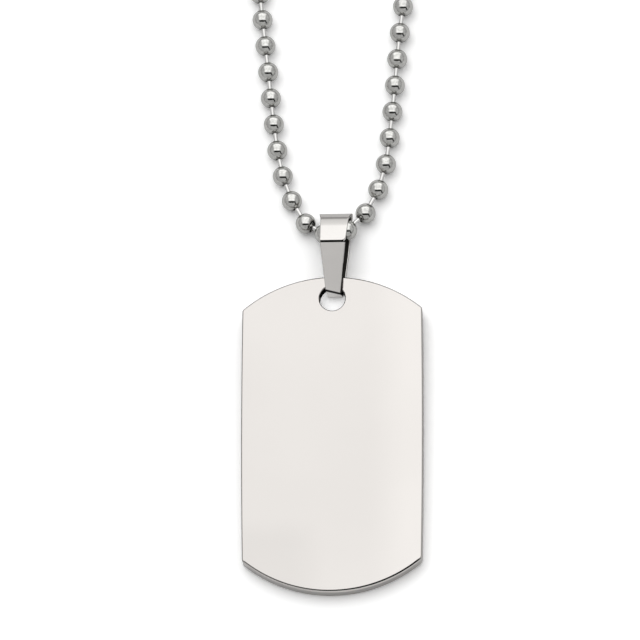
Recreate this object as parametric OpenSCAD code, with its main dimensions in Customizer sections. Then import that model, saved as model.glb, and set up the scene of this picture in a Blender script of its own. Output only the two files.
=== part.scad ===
// Identification dog tag on a ball chain, laid on a flat surface, front face up.
// The surface is z = 0. The tag lies at the -Y end, the chain's loop runs away towards +Y.

/* [Tag] */
// Width of the tag across the middle of its sides
tag_w = 21.3; // [18:0.1:30]
// Length of the tag between the middles of its two end arcs
tag_len = 38.2; // [34:0.1:55]
// Thickness of the tag
tag_t = 2; // [1:0.1:3]
// Radius of the arc at each end of the tag
tag_end_r = 16.2; // [16:0.1:24]
// How far each long side bows out at its middle
tag_bow = 0.12; // [0.05:0.01:0.4]

/* [Hole] */
// Diameter of the hole for the bail
hole_d = 3.05; // [2.8:0.05:4.5]
// Metal left between the hole and the top edge of the tag
hole_rim = 1.05; // [0.7:0.05:2]

/* [Bail] */
// Length of the bail from its foot to the top of its roll
bail_len = 9.94; // [8.5:0.1:14]
// Thickness of the bail's strap
strap_t = 0.4; // [0.3:0.05:0.6]
// Gap between each edge of the foot and the hole, before the bail is turned
foot_side_gap = 0.43; // [0.42:0.01:0.6]
// Width of the strap at the crease of its front
crease_w = 2.9; // [2:0.05:4]
// Width of the strap where the front panel meets the roll
panel_w = 3.3; // [2.5:0.05:5]
// Width of the strap at the top of the roll
roll_w = 3.9; // [3:0.05:6]
// Distance from the foot to the crease
crease_at = 5.63; // [4.5:0.05:6.5]
// Radius inside the strap at the crease
crease_bend = 0.15; // [0.05:0.05:0.6]
// Radius inside the strap at the two corners of its foot
foot_bend = 0.3; // [0.1:0.05:0.5]
// Play between the foot and the upper edge of the hole
foot_play = 0.6; // [0.5:0.02:0.8]
// Gap between the strap and each face of the tag
rim_gap = 0.2; // [0.1:0.02:0.4]
// Room over a bead of the chain under the crease
bead_room = 1.5; // [1.4:0.05:2.5]
// How far the bail is turned about its length, with its front to the left, in degrees
bail_turn = 3; // [0:0.1:4]
// How far the bail leans to the right in plan, in degrees
bail_lean = 1.2; // [0:0.1:3]
// How far the front of the bail's foot lies to the right of the hole's middle
bail_side = 0.1; // [0:0.02:0.12]

/* [Chain] */
// Diameter of a bead
bead_d = 2.4; // [1.8:0.05:2.6]
// Diameter of the wire that links the beads
wire_d = 0.48; // [0.3:0.02:0.7]
// Wire that shows between beads where the chain is straight
taut_gap = 0.84; // [0.6:0.02:2]
// Wire that shows between the two beads in the bail, and between them and the next on the left
slack_gap = 0.34; // [0.25:0.01:0.6]
// Wire that shows between the beads in the bail and the next on the right
eased_gap = 0.68; // [0.4:0.02:0.8]
// Clearance round the wire in a bead's bore
wire_gap = 0.12; // [0.1:0.01:0.2]
// Gap between the beads in the bail and the back of its strap
seat_gap = 0.07; // [0.05:0.01:0.15]
// Gap between the beads in the bail and the inside of its front, before the bail is turned
panel_gap = 0.02; // [0:0.01:0.2]

/* [Connector] */
// How far the sleeve that closes the chain stands out past the beads all round
clasp_wall = 0.4; // [0.2:0.05:0.8]
// Length of the sleeve
clasp_len = 8.6; // [7:0.1:11]
// Gap between the sleeve and the bead at each end of it
clasp_gap = 0.5; // [0.3:0.05:1]

/* [Hidden] */

// Fineness of the round shapes, the angle of one step round a bend, and what cutters stand proud
$fn = 48;
side_fn = 2400;
end_fn = 240;
bead_fn = 24;
bend_step = 7.5;
through = 1;

function unit(v) = v / norm(v);

// The tag: plan sizes measured from the hole, which is the origin of the plan
tag_top = hole_rim + hole_d / 2;
tag_below = tag_len - tag_top;
tag_mid = tag_top - tag_len / 2;
arc_mid = tag_len / 2 - tag_end_r;

// Each long side is an arc through the middle of the side and its two corners
corner_x = tag_w / 2 - tag_bow;
corner_y = arc_mid + sqrt(pow(tag_end_r, 2) - pow(corner_x, 2));
side_r = (pow(corner_y, 2) + pow(tag_bow, 2)) / (2 * tag_bow);

// The bail: places along its length are measured from its foot, heights from its back.
// The foot fits the hole and the tag's thickness, and the roll fits round a bead
foot_w = 2 * (sqrt(foot_play * (hole_d - foot_play)) - foot_side_gap);
foot_r = foot_bend + strap_t;
crease_r = crease_bend + strap_t;
roll_r = bead_d / 2 + strap_t;
foot_depth = tag_t + 2 * (rim_gap + strap_t);
crease_h = bead_d + 2 * strap_t + bead_room;
foot_y = hole_d / 2 - foot_play - strap_t;
roll_at = bail_len - roll_r;
panel_at = roll_at + roll_r * sin(26);
bail_lift = panel_w / 2 * sin(bail_turn);

// Circles that the strap is bent round: [place along the bail, height, outer radius]
bends = [
    [foot_r, foot_r, foot_r],
    [foot_r, foot_depth - foot_r, foot_r],
    [crease_at, crease_h - crease_r, crease_r],
    [roll_at, roll_r, roll_r]
];

// Outward direction of the straight stretch of strap from bend a to bend b, inset by a margin
function radius(bend, inset) = bend[2] - inset;
function spot(bend) = [bend[0], bend[1]];
function outward(a, b, inset) =
    let (
        step = spot(b) - spot(a),
        along = unit(step),
        share = (radius(a, inset) - radius(b, inset)) / norm(step),
        side = [-along[1], along[0]]
    )
    along * share + side * sqrt(1 - share * share);

// The back of the strap passes under the rim of the hole, which lifts that end of the tag
rim_lift = bail_lift + strap_t + rim_gap;
tag_tilt = asin(rim_lift / tag_below);

// The beads in the bail lie on the back of its strap, close under its front panel
in_bail = 2 * bail_lift + strap_t + seat_gap;
panel_out = outward(bends[2], bends[3], 0);
seat_back = (panel_gap + (bail_lift + seat_gap) * panel_out[1]) / panel_out[0];

// The chain's route, from the middle of the link inside the bail, up the right side, round
// the neck and back down the left side: [right, away from the right bead in the bail]
seat_y = foot_y + roll_at - seat_back;
route_right = [
    [0.35, -0.25], [1.65, 0], [3.75, 2.15], [5.3, 5.15], [6.2, 8.35], [6.7, 12.35], [7.2, 17.75], [8.1, 27.25]
];
route_neck = [
    [11.2, 51], [17.8, 86], [28, 118], [41, 147], [54, 172], [61, 195], [59, 216], [48, 236], [27, 250.5]
];
route_left = [
    [-8.4, 26.25], [-7.4, 16.75], [-6.7, 10.75], [-5.95, 6.95], [-4.85, 3.85], [-3.2, 1.05], [-1.05, -0.4]
];
neck_top = [0, 255];
route_steps = 10;

function mirrored(points) = [for (i = [len(points) - 1:-1:0]) [-points[i][0], points[i][1]]];
route = concat(route_right, route_neck, [neck_top], mirrored(route_neck), route_left);

// A smooth closed curve through the route's points
function knot(i) = route[(i + len(route)) % len(route)];
function between(a, b, c, d, t) =
    b + (c - a) * t / 2 + (2 * a - 5 * b + 4 * c - d) * t * t / 2 + (3 * b - a - 3 * c + d) * t * t * t / 2;
curve = [
    for (i = [0:len(route)])
        for (k = [0:(i < len(route) ? route_steps - 1 : 0)])
            [0, seat_y] + between(knot(i - 1), knot(i), knot(i + 1), knot(i + 2), k / route_steps)
];
function step_after(i) = i + 1 < len(curve) ? norm(curve[i + 1] - curve[i]) : 0;
reach = [for (i = 0, s = 0; i < len(curve); s = s + step_after(i), i = i + 1) s];
chain_len = reach[len(reach) - 1];
along_x = [for (i = [0:len(curve) - 1]) [reach[i], curve[i][0]]];
along_y = [for (i = [0:len(curve) - 1]) [reach[i], curve[i][1]]];

// Distances of the beads along the route: the links share what the sleeve and the slack leave
slack_pitch = bead_d + slack_gap;
eased_pitch = bead_d + eased_gap;
clasp_reach = clasp_len / 2 + clasp_gap + bead_d / 2;
taut_len = chain_len - 2 * slack_pitch - eased_pitch - 2 * clasp_reach;
taut_links = round(taut_len / (bead_d + taut_gap));
pitch = taut_len / taut_links;
right_links = round((chain_len / 2 - slack_pitch / 2 - eased_pitch - clasp_reach) / pitch);
clasp_mid = slack_pitch / 2 + eased_pitch + right_links * pitch + clasp_reach;
bead_reach = concat(
    [slack_pitch / 2],
    [for (i = [0:right_links]) slack_pitch / 2 + eased_pitch + i * pitch],
    [for (i = [0:taut_links - right_links]) clasp_mid + clasp_reach + i * pitch],
    [chain_len - slack_pitch / 2]
);

// The beads lie on the surface, apart from those in the bail and next to the thicker sleeve
rise = [
    [slack_pitch / 2, in_bail],
    [1.5 * slack_pitch, 0],
    [clasp_mid - clasp_reach - 2 * pitch, 0],
    [clasp_mid - clasp_reach, clasp_wall],
    [clasp_mid + clasp_reach, clasp_wall],
    [clasp_mid + clasp_reach + 2 * pitch, 0],
    [chain_len - 1.5 * slack_pitch, 0],
    [chain_len - slack_pitch / 2, in_bail]
];
function at(s) = [lookup(s, along_x), lookup(s, along_y), bead_d / 2 + lookup(s, rise)];
beads = [for (s = bead_reach) at(s)];
right_end_bead = right_links + 1;
clasp_at = (beads[right_end_bead] + beads[right_end_bead + 1]) / 2;
clasp_d = bead_d + 2 * clasp_wall;

// The wire bends in the middle of each bead and is straight through the sleeve
function bead_after(i) = beads[(i + 1) % len(beads)];
function bead_before(i) = beads[(i + len(beads) - 1) % len(beads)];
function bend_at(i) = unit(unit(bead_after(i) - beads[i]) + unit(beads[i] - bead_before(i)));
function turn_at(i) = acos(min(1, unit(bead_after(i) - beads[i]) * unit(beads[i] - bead_before(i))));

// The origin is the middle of everything, on the surface
right_end = max([for (p = beads) p[0]]) + bead_d / 2;
left_end = min([for (p = beads) p[0]]) - bead_d / 2;
far_end = clasp_at[1] + clasp_d / 2;
near_end = -tag_below - tag_t * sin(tag_tilt);
middle = [(right_end + left_end) / 2, (far_end + near_end) / 2, 0];

// Everything on the near side of one end's arc, with the middle of the tag at the origin
module inside_end(end) {
    translate([0, end * arc_mid])
        circle(r = tag_end_r, $fn = end_fn);
    translate([-tag_end_r, end * arc_mid - (end > 0 ? tag_len : 0)])
        square([2 * tag_end_r, tag_len]);
}

// Outline of the tag in plan, with the hole's middle at the origin
module tag_outline() {
    translate([0, tag_mid])
        intersection() {
            inside_end(1);
            inside_end(-1);
            between_sides();
        }
}

// What lies between the two bowed sides
module between_sides() {
    intersection_for(side = [-1, 1])
        translate([side * (tag_w / 2 - side_r), 0])
            circle(r = side_r, $fn = side_fn);
}

module tag_plate() {
    color([0.9, 0.9, 0.89])
        translate([0, -tag_below, 0])
            rotate([tag_tilt, 0, 0])
                translate([0, tag_below, 0])
                    difference() {
                        linear_extrude(tag_t)
                            tag_outline();
                        translate([0, 0, -through])
                            cylinder(d = hole_d, h = tag_t + 2 * through);
                    }
}

// Shape of the bail from the side, pulled in by a margin: round bends joined by straight stretches
module bail_side_shape(inset) {
    polygon([
        for (i = [0:len(bends) - 1])
            let (
                here = bends[i],
                ahead = bends[(i + 1) % len(bends)],
                behind = bends[(i + len(bends) - 1) % len(bends)],
                leaves = outward(here, ahead, inset),
                arrives = outward(behind, here, inset),
                start = atan2(arrives[1], arrives[0]),
                turn = (start - atan2(leaves[1], leaves[0]) + 360) % 360,
                steps = ceil(turn / bend_step)
            )
            for (k = [0:steps])
                let (angle = start - turn * k / steps)
                spot(here) + radius(here, inset) * [cos(angle), sin(angle)]
    ]);
}

// Shape of the bail from the front, narrow at the foot and wide at the roll
module bail_front_shape() {
    rows = [[0, foot_w], [crease_at, crease_w], [panel_at, panel_w], [bail_len, roll_w]];
    polygon(concat(
        [for (row = rows) [row[1] / 2, row[0]]],
        [for (i = [len(rows) - 1:-1:0]) [-rows[i][1] / 2, rows[i][0]]]
    ));
}

// The bail before it is laid down: foot at y = 0, back at z = 0
module straight_bail() {
    intersection() {
        rotate([90, 0, 90])
            translate([0, 0, -roll_w])
                linear_extrude(2 * roll_w)
                    difference() {
                        bail_side_shape(0);
                        bail_side_shape(strap_t);
                    }
        translate([0, 0, -through])
            linear_extrude(crease_h + 2 * through)
                bail_front_shape();
    }
}

module bail() {
    color([0.75, 0.74, 0.72])
        translate([bail_side, foot_y, bail_lift])
            rotate([0, 0, -bail_lean])
                translate([foot_depth * sin(bail_turn), 0, 0])
                    rotate([0, -bail_turn, 0])
                        straight_bail();
}

// Turns a shape that stands along +Z so that it runs along a direction
module aim(direction) {
    rotate([0, acos(direction[2]), atan2(direction[1], direction[0])])
        children();
}

// A ball drilled along Z, with a bore that flares from its waist to let the wire turn in it
module bead(turn) {
    waist_r = wire_d / 2 + wire_gap;
    mouth_r = waist_r + bead_d / 2 * tan(turn / 2);
    rotate_extrude($fn = bead_fn)
        intersection() {
            circle(d = bead_d, $fn = bead_fn);
            polygon([
                [waist_r, 0], [mouth_r, bead_d / 2], [bead_d, bead_d / 2],
                [bead_d, -bead_d / 2], [mouth_r, -bead_d / 2]
            ]);
        }
}

module chain_beads() {
    color([0.68, 0.68, 0.67])
        for (i = [0:len(beads) - 1])
            translate(beads[i])
                aim(bend_at(i))
                    bead(turn_at(i));
}

// One closed run of six-sided wire, with a ring of corners in the middle of each bead
module chain_wire() {
    sides = 6;
    rings = [
        for (i = [0:len(beads) - 1])
            let (
                flat_side = unit(cross(bend_at(i), [0, 0, 1])),
                upward = cross(flat_side, bend_at(i))
            )
            for (k = [0:sides - 1])
                beads[i] + wire_d / 2 * (cos(360 * k / sides) * flat_side + sin(360 * k / sides) * upward)
    ];
    count = len(rings);
    faces = [
        for (i = [0:len(beads) - 1])
            for (k = [0:sides - 1])
                let (
                    a = i * sides + k,
                    b = i * sides + (k + 1) % sides
                )
                [a, b, (b + sides) % count, (a + sides) % count]
    ];
    color([0.8, 0.8, 0.79])
        polyhedron(points = rings, faces = faces);
}

// The plain sleeve that joins the two ends of the chain
module connector() {
    color([0.7, 0.7, 0.69])
        translate(clasp_at)
            aim(unit(beads[right_end_bead + 1] - beads[right_end_bead]))
                difference() {
                    intersection() {
                        cylinder(d = clasp_d, h = clasp_len, center = true);
                        sphere(d = clasp_len);
                    }
                    cylinder(d = wire_d + 2 * wire_gap, h = clasp_len + 2 * through, center = true);
                }
}

translate(-middle) tag_plate();
translate(-middle) bail();
translate(-middle) chain_beads();
translate(-middle) chain_wire();
translate(-middle) connector();
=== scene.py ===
# %% [markdown]
# # A steel identification tag on its ball chain
#
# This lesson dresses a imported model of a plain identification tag: a polished plate, a folded strap that
# carries it, and a closed ball chain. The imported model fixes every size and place. Blender adds what the eye
# looks for, which here is mostly small rounded edges and clean reflections, because polished steel has almost
# no colour of its own.

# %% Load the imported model
import bmesh
import bpy
import math
import numpy as np
from mathutils import Matrix, Vector


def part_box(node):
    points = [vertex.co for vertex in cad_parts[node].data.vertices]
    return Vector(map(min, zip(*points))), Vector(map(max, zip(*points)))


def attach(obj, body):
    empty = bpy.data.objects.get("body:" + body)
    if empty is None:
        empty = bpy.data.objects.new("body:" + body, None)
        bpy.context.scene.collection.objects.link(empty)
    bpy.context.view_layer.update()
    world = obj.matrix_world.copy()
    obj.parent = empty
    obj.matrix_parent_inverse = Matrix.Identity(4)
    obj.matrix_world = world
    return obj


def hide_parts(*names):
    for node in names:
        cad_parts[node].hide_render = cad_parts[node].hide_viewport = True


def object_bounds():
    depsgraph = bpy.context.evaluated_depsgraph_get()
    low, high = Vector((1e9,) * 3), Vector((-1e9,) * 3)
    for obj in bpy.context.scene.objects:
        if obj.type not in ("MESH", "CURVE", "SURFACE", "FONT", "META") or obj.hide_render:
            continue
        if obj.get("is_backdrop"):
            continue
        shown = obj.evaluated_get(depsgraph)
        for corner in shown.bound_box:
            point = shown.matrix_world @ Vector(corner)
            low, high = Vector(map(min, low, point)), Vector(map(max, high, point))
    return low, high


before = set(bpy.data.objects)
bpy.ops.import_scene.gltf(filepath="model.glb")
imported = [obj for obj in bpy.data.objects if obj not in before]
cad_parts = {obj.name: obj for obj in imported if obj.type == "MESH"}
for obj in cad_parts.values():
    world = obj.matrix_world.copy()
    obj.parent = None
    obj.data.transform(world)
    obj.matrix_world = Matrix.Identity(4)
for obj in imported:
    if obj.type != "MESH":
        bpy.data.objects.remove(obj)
cad_low, cad_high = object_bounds()
MM = 0.001
print("nodes", sorted(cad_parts), "box in mm", [round(v / MM, 2) for v in (*cad_low, *cad_high)])


# %% Small helpers for pieces
def make_piece(name, mesh, body="root"):
    """Puts a finished mesh in the scene at the origin, and lets it ride on a body."""
    piece = bpy.data.objects.new(name, mesh)
    bpy.context.scene.collection.objects.link(piece)
    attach(piece, body)
    return piece


def baked(source, name):
    """Turns an object with live modifiers into a plain mesh, and removes the object."""
    depsgraph = bpy.context.evaluated_depsgraph_get()
    mesh = bpy.data.meshes.new_from_object(source.evaluated_get(depsgraph), depsgraph=depsgraph)
    mesh.name = name
    bpy.data.objects.remove(source)
    return mesh


def print_sizes(mesh, node):
    """Prints the corners of a finished piece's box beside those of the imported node's, in millimetres."""
    points = np.array([v.co for v in mesh.vertices]) / MM
    dressed = [corner.round(3).tolist() for corner in (points.min(axis=0), points.max(axis=0))]
    packed = [[round(v / MM, 3) for v in corner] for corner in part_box(node)]
    print(node, "dressed with", len(mesh.polygons), "faces, box", dressed, "packed", packed)


def aimed(place, way):
    """Moves something to a place, with its Z along a way."""
    return Matrix.Translation(place) @ Vector(way).to_track_quat("Z", "Y").to_matrix().to_4x4()


# %% [markdown]
# ## The camera comes first
#
# A product photograph like this one is taken from far away with a long lens, so that parallel edges stay
# parallel. A very long focal length gives the same calm picture, and unlike an orthographic camera it still
# frames the whole necklace when the view changes. The camera leans 17 degrees forward from straight down and
# 4 degrees to the right. Its picture is 74.9 mm wide at the tag.

# %% Camera
TAG_THICK, TAG_BELOW_HOLE, TAG_LIFT = 2.0, 35.625, 0.68636
TAG_TILT = math.asin(TAG_LIFT / TAG_BELOW_HOLE)
tag_low, tag_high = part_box("tag_plate")
HOLE = Vector((
    (tag_low.x + tag_high.x) / 2,
    tag_low.y + (TAG_BELOW_HOLE + TAG_THICK * math.sin(TAG_TILT)) * MM,
    0.0,
))
TILT_BACK = math.radians(17.0)
TILT_RIGHT = math.radians(4.0)
PICTURE_LEAN = math.radians(0.18)
PICTURE_SIDE = 640
PIXELS_PER_MM = 8.543
HOLE_PIXEL = (332.2, 297.8)
HOLE_FRONT_HEIGHT = 2.62
FOCAL_LENGTH = 1500.0

hole_front = HOLE + Vector((0, 0, HOLE_FRONT_HEIGHT * MM))
to_camera = Vector((
    math.sin(TILT_RIGHT) * math.cos(TILT_BACK),
    -math.sin(TILT_BACK),
    math.cos(TILT_RIGHT) * math.cos(TILT_BACK),
))
straight_up = (Vector((0, 1, 0)) - to_camera * to_camera.y).normalized()
straight_right = straight_up.cross(to_camera)
picture_up = straight_up * math.cos(PICTURE_LEAN) - straight_right * math.sin(PICTURE_LEAN)
picture_right = picture_up.cross(to_camera)
middle_right = (PICTURE_SIDE / 2 - HOLE_PIXEL[0]) / PIXELS_PER_MM * MM
middle_up = (HOLE_PIXEL[1] - PICTURE_SIDE / 2) / PIXELS_PER_MM * MM
picture_middle = hole_front + picture_right * middle_right + picture_up * middle_up

camera_data = bpy.data.cameras.new("product_camera")
camera_data.lens = FOCAL_LENGTH
camera_data.clip_end = 100
picture_width = PICTURE_SIDE / PIXELS_PER_MM * MM
distance = picture_width / 2 / (camera_data.sensor_width / 2 / FOCAL_LENGTH)
camera = bpy.data.objects.new("product_camera", camera_data)
camera.matrix_world = Matrix.Translation(picture_middle + to_camera * distance) @ Matrix(
    (picture_right, picture_up, to_camera)
).transposed().to_4x4()
bpy.context.scene.collection.objects.link(camera)
bpy.context.scene.camera = camera
print("camera distance", round(distance, 3), "m, picture", round(picture_width / MM, 2), "mm wide")

# %% [markdown]
# ## What polished steel looks at
#
# A mirror shows the room, so the room is the material. The photograph's own reflections tell how its studio
# was built. The flat tag and the window shape on every bead show one large white softbox, from just over the
# far horizon to just past overhead. A thin black line under each window is the dark slot that the camera
# looks through, and the short tail at the right end of that line is one dark streak, which falls from the
# slot towards the near horizon. Everything else is a light grey room, a little darker along the horizon. One
# procedural sky holds it all. Separate cards and lamps could do the same, but they would stand in the way
# when the camera moves round.


# %% Node helpers
def add_node(tree, kind, **settings):
    """Adds a node, and sets its properties by name."""
    node = tree.nodes.new(kind)
    for name, value in settings.items():
        setattr(node, name, value)
    return node


def plug(tree, target, value):
    """Links an output to an input, or sets the input's own value."""
    if isinstance(value, bpy.types.NodeSocket):
        tree.links.new(value, target)
    else:
        target.default_value = value


def math_node(tree, operation, *values):
    node = add_node(tree, "ShaderNodeMath", operation=operation)
    for socket, value in zip(node.inputs, values):
        plug(tree, socket, value)
    return node.outputs[0]


def ramp(tree, value, start, end, low=0.0, high=1.0):
    """A smooth step of a value from low to high between start and end."""
    node = add_node(tree, "ShaderNodeMapRange", interpolation_type="SMOOTHSTEP")
    for socket, given in zip(node.inputs, (value, start, end, low, high)):
        plug(tree, socket, given)
    return node.outputs[0]


# %% Sky: a softbox, the camera's slot and a grey room
SKY_UNDER_SOFTBOX = (
    (-30, 0.7), (-3, 0.72), (4, 0.78), (6.5, 0.42), (15.5, 0.42), (17, 0.8), (18, 0.96), (19.5, 1.03),
    (22.4, 1.1), (23.7, 1.15), (25.2, 1.26), (26.4, 1.53), (28, 1.7), (30, 1.68), (50, 1.5), (75, 1.385),
    (80, 1.42), (92, 1.6), (101.8, 1.65), (102.7, 0.785), (108.3, 0.78), (109, 0.01), (127, 0.01),
    (128.5, 0.64), (150, 0.6), (180, 0.55),
)
ROOM_AT_HORIZON, ROOM_ABOVE = 0.5, 0.64
HORIZON_START, HORIZON_TOP = 2, 30
SOFTBOX_HALF_WIDTH = 27
SOFTBOX_EDGE = 17
RISE_LOW, RISE_HIGH = -30, 180
SKY_TINT = (1.0, 1.0, 0.998, 1.0)


def sky_ramp(tree, rise, stops):
    """Brightness by the degrees that a direction rises from the far horizon, over the top and down again."""
    share = math_node(tree, "DIVIDE", math_node(tree, "SUBTRACT", rise, RISE_LOW), RISE_HIGH - RISE_LOW)
    node = add_node(tree, "ShaderNodeValToRGB")
    elements = node.color_ramp.elements
    while len(elements) < len(stops):
        elements.new(0.5)
    for element, (degrees, light) in zip(elements, stops):
        element.position = (degrees - RISE_LOW) / (RISE_HIGH - RISE_LOW)
        element.color = (light, light, light, 1.0)
    plug(tree, node.inputs[0], share)
    return node.outputs[0]


world = bpy.data.worlds.new("studio")
bpy.context.scene.world = world
world.use_nodes = True
sky = world.node_tree
sky.nodes.clear()
direction = add_node(sky, "ShaderNodeTexCoord").outputs["Generated"]
parts = add_node(sky, "ShaderNodeSeparateXYZ")
plug(sky, parts.inputs[0], direction)
rise = math_node(sky, "DEGREES", math_node(sky, "ARCTAN2", parts.outputs["Z"], parts.outputs["Y"]))
to_right = math_node(sky, "DEGREES", math_node(sky, "ARCSINE", parts.outputs["X"]))
sideways = math_node(sky, "ABSOLUTE", to_right)
beside = ramp(sky, sideways, SOFTBOX_HALF_WIDTH, SOFTBOX_HALF_WIDTH + SOFTBOX_EDGE)
height = math_node(sky, "DEGREES", math_node(sky, "ARCSINE", parts.outputs["Z"]))
room = ramp(sky, height, HORIZON_START, HORIZON_TOP, ROOM_AT_HORIZON, ROOM_ABOVE)
mixed = add_node(sky, "ShaderNodeMix", data_type="RGBA")
plug(sky, mixed.inputs["Factor"], beside)
plug(sky, mixed.inputs["A"], sky_ramp(sky, rise, SKY_UNDER_SOFTBOX))
plug(sky, mixed.inputs["B"], room)
print("softbox and room take", len(sky.nodes), "nodes")

# %% Sky: the dark streak beside the slot
STREAK_START, STREAK_END = Vector((36, 112, 0)), Vector((47, 166, 0))
STREAK_FADE_IN, STREAK_FADE_OUT = (-3, 1), 6
STREAK_HALF_WIDTH, STREAK_SIDE_FADE = 6, 2
STREAK_LIGHT = 0.02


def dark_streak(tree, to_right, rise):
    """How much of each direction the streak covers, from 0 to 1, by its degrees to the right and up."""
    place = add_node(tree, "ShaderNodeCombineXYZ")
    plug(tree, place.inputs["X"], to_right)
    plug(tree, place.inputs["Y"], rise)
    from_start = add_node(tree, "ShaderNodeVectorMath", operation="SUBTRACT")
    plug(tree, from_start.inputs[0], place.outputs[0])
    from_start.inputs[1].default_value = STREAK_START
    long = (STREAK_END - STREAK_START).length
    way = (STREAK_END - STREAK_START).normalized()
    reaches = []
    for measured in (way, Vector((-way.y, way.x, 0))):
        reach = add_node(tree, "ShaderNodeVectorMath", operation="DOT_PRODUCT")
        plug(tree, reach.inputs[0], from_start.outputs["Vector"])
        reach.inputs[1].default_value = measured
        reaches.append(reach.outputs["Value"])
    begun = ramp(tree, reaches[0], *STREAK_FADE_IN)
    not_over = ramp(tree, reaches[0], long - STREAK_FADE_OUT, long, 1, 0)
    across = math_node(tree, "ABSOLUTE", reaches[1])
    within = ramp(tree, across, STREAK_HALF_WIDTH, STREAK_HALF_WIDTH + STREAK_SIDE_FADE, 1, 0)
    return math_node(tree, "MULTIPLY", math_node(tree, "MULTIPLY", begun, not_over), within)


with_streak = add_node(sky, "ShaderNodeMix", data_type="RGBA")
plug(sky, with_streak.inputs["Factor"], dark_streak(sky, to_right, rise))
plug(sky, with_streak.inputs["A"], mixed.outputs["Result"])
with_streak.inputs["B"].default_value = (*[STREAK_LIGHT] * 3, 1.0)
background = add_node(sky, "ShaderNodeBackground")
background.inputs["Color"].default_value = SKY_TINT
plug(sky, background.inputs["Strength"], with_streak.outputs["Result"])
plug(sky, add_node(sky, "ShaderNodeOutputWorld").inputs["Surface"], background.outputs[0])
print("the whole sky takes", len(sky.nodes), "nodes")

# %% [markdown]
# ## A floor that stays white
#
# The photograph's ground is lifted to pure white, and only the deepest grey next to each piece is left of its
# shadows. The mirrors still show the ground as it was, a light grey. A Light Path node does the same here:
# the camera sees a brighter paper than the steel does. A soft sun from the upper left leans the shadows to
# the right, and a tiny lamp inside the hole stands for the light that the hole's polished wall pipes down.
# Both are hidden from mirrors, so they leave no spots on the steel.

# %% Floor
FLOOR_HALF = 12.0
PAPER_IN_MIRRORS, PAPER_TO_CAMERA = 0.70, 1.14

floor_mesh = bpy.data.meshes.new("floor")
floor_mesh.from_pydata(
    [(x * FLOOR_HALF, y * FLOOR_HALF, 0) for x, y in ((-1, -1), (1, -1), (1, 1), (-1, 1))], [], [(0, 1, 2, 3)]
)
floor = bpy.data.objects.new("floor", floor_mesh)
bpy.context.scene.collection.objects.link(floor)
floor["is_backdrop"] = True

paper = bpy.data.materials.new("white_paper")
paper.use_nodes = True
paper_tree = paper.node_tree
paper_tree.nodes.clear()
paper_shader = add_node(paper_tree, "ShaderNodeBsdfDiffuse")
paper_tone = add_node(paper_tree, "ShaderNodeMix", data_type="RGBA")
seen_by_camera = add_node(paper_tree, "ShaderNodeLightPath").outputs["Is Camera Ray"]
plug(paper_tree, paper_tone.inputs["Factor"], seen_by_camera)
paper_tone.inputs["A"].default_value = (*[PAPER_IN_MIRRORS] * 3, 1.0)
paper_tone.inputs["B"].default_value = (*[PAPER_TO_CAMERA] * 3, 1.0)
plug(paper_tree, paper_shader.inputs["Color"], paper_tone.outputs["Result"])
plug(paper_tree, add_node(paper_tree, "ShaderNodeOutputMaterial").inputs["Surface"], paper_shader.outputs[0])
floor_mesh.materials.append(paper)
print("floor", 2 * FLOOR_HALF, "m wide, tones of its paper", PAPER_IN_MIRRORS, PAPER_TO_CAMERA)

# %% Lamps
SUN_FROM, SUN_STRENGTH, SUN_ANGLE = Vector((-0.35, 0.45, 1.0)), 0.5, math.radians(45)
HOLE_LAMP_POWER, HOLE_LAMP_SIZE, HOLE_LAMP_PLACE = 0.00002, 3.6 * MM, Vector((0, 0.6, 0.58)) * MM
UP = Vector((0, 0, 1))


def add_lamp(name, kind, place, from_way, **settings):
    """A lamp that mirrors and the camera don't see."""
    data = bpy.data.lights.new(name, kind)
    for setting, value in settings.items():
        setattr(data, setting, value)
    lamp = bpy.data.objects.new(name, data)
    lamp.matrix_world = aimed(place, from_way)
    lamp.visible_glossy = False
    lamp.visible_camera = False
    bpy.context.scene.collection.objects.link(lamp)


add_lamp("soft_sun", "SUN", UP, SUN_FROM, energy=SUN_STRENGTH, angle=SUN_ANGLE)
add_lamp(
    "hole_lamp", "AREA", HOLE + HOLE_LAMP_PLACE, UP,
    energy=HOLE_LAMP_POWER, size=HOLE_LAMP_SIZE, shape="DISK",
)
bpy.context.scene.view_settings.view_transform = "Standard"

# %% [markdown]
# ## Steel
#
# All the pieces are the same metal, but each was finished in its own way. The plate and the strap were
# polished flat on a wheel, and are almost perfect mirrors. The beads were tumbled, which leaves a fine random
# scratching. So one function makes the metal, and takes how fine and how deep the marks are and how cloudy
# the shine is. A tone that the mesh carries is painted shade and painted reflection: it darkens or lightens
# edges and bores, which are too narrow to mirror much. Soft bands of painted reflection cross the tag where
# the room changes along its reflection. A near-black steel is painted shade on the strap's inner face and
# ends, the foot's right wall and the hole's wall.


# %% Steel
MARK_DETAIL, MARK_ROUGHNESS = 4.0, 0.65
CLOUD_DETAIL, CLOUD_STEP = 2.0, (0.3, 0.7)
GLOSS_STEP, GLOSS_CHANGE = (0.35, 0.65), 0.3


def times(tree, color, factor):
    """A colour times a grey factor."""
    node = add_node(tree, "ShaderNodeMix", data_type="RGBA", blend_type="MULTIPLY")
    node.inputs["Factor"].default_value = 1.0
    plug(tree, node.inputs["A"], color)
    plug(tree, node.inputs["B"], factor)
    return node.outputs["Result"]


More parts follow.
